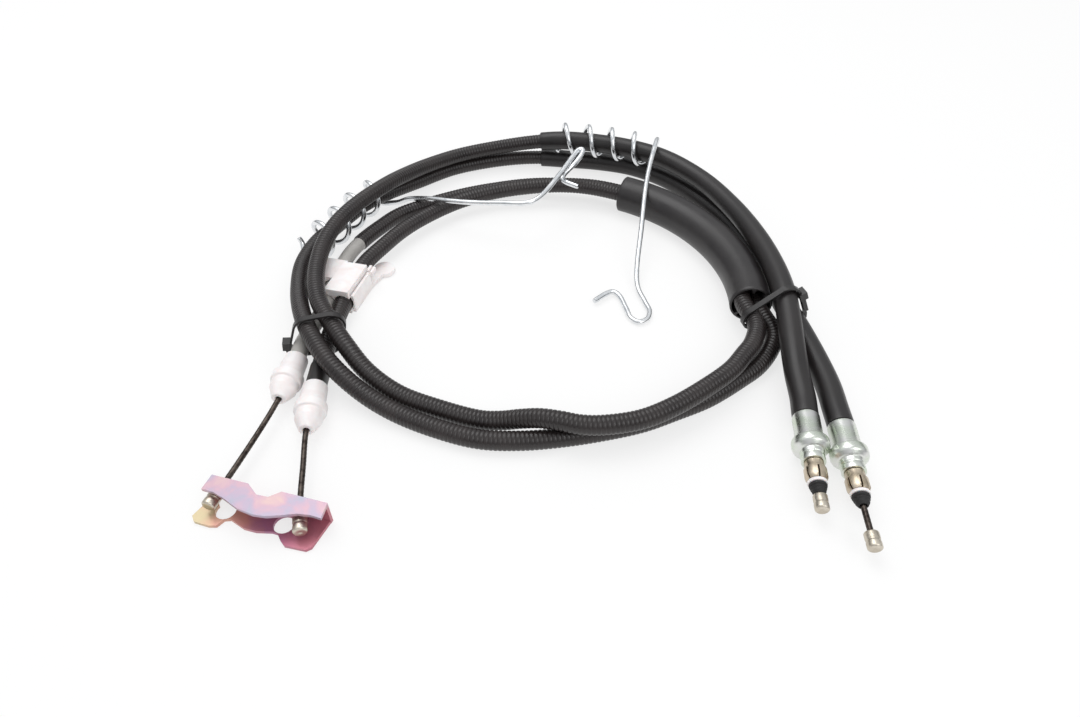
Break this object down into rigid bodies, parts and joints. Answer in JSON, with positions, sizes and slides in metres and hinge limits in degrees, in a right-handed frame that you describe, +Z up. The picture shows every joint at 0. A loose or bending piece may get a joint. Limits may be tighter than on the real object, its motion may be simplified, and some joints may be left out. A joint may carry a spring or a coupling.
{
  "type": "parking brake cable",
  "caption": "Pair of ribbed parking brake cables coiled into one tied loop, with forming guide, hook springs, pull bracket, clip and end fittings",
  "frame": {"origin": "bottom centre of the box round the whole part, on the surface that it lies on", "axes": "+X to the right of the loop as pictured, +Y to the far side, +Z up"},
  "size_m": [0.3268, 0.3655, 0.0417],
  "materials": {
    "hose": "ribbed black polypropylene hose",
    "rubber_sleeve": "plain black rubber sleeve",
    "grey_sleeve": "plain grey plastic sleeve",
    "guide": "satin black moulded plastic",
    "white_plastic": "off-white moulded nylon",
    "wire": "stranded steel wire, oiled",
    "nipple": "nickel-coloured turned steel",
    "zinc_ferrule": "bright zinc-plated turned steel",
    "zinc_collet": "zinc-plated slotted collet",
    "boot_rubber": "matt black rubber boot",
    "spring_wire": "bright zinc-plated spring wire",
    "yellow_zinc": "yellow-passivated zinc on pressed steel",
    "nylon": "black nylon"
  },
  "bodies": {
    "casing": {"hose_a": "hose", "hose_b": "hose", "inner_wire_a": "wire", "inner_wire_b": "wire", "front_sleeve_a": "grey_sleeve", "front_sleeve_b": "rubber_sleeve", "rear_sleeve_a": "rubber_sleeve", "rear_sleeve_b": "rubber_sleeve", "guide_tube": "guide", "routing_clip": "white_plastic", "front_ferrule_a": "white_plastic", "front_ferrule_b": "white_plastic", "front_nipple_a": "nipple", "front_nipple_b": "nipple", "pull_bracket": "yellow_zinc", "rear_ferrule_a": "zinc_ferrule", "rear_ferrule_b": "zinc_ferrule", "collet_a": "zinc_collet", "collet_b": "zinc_collet", "seal_ring_a": "white_plastic", "seal_ring_b": "white_plastic", "boot_a": "boot_rubber", "boot_b": "boot_rubber", "spring_hook_top": "spring_wire", "spring_hook_left": "spring_wire", "cable_tie_left": "nylon", "cable_tie_right": "nylon"},
    "wire_end_a": {"rear_wire_a": "wire", "rear_nipple_a": "nipple"},
    "wire_end_b": {"rear_wire_b": "wire", "rear_nipple_b": "nipple"}
  },
  "joints": [
    {"name": "wire_a_slide", "type": "slide", "parent": "casing", "child": "wire_end_a", "axis": [-0.0864, -0.9963, 0], "range_m": [-0.012, 0]},
    {"name": "wire_b_slide", "type": "slide", "parent": "casing", "child": "wire_end_b", "axis": [-0.1264, -0.992, 0], "range_m": [0, 0.012]}
  ]
}
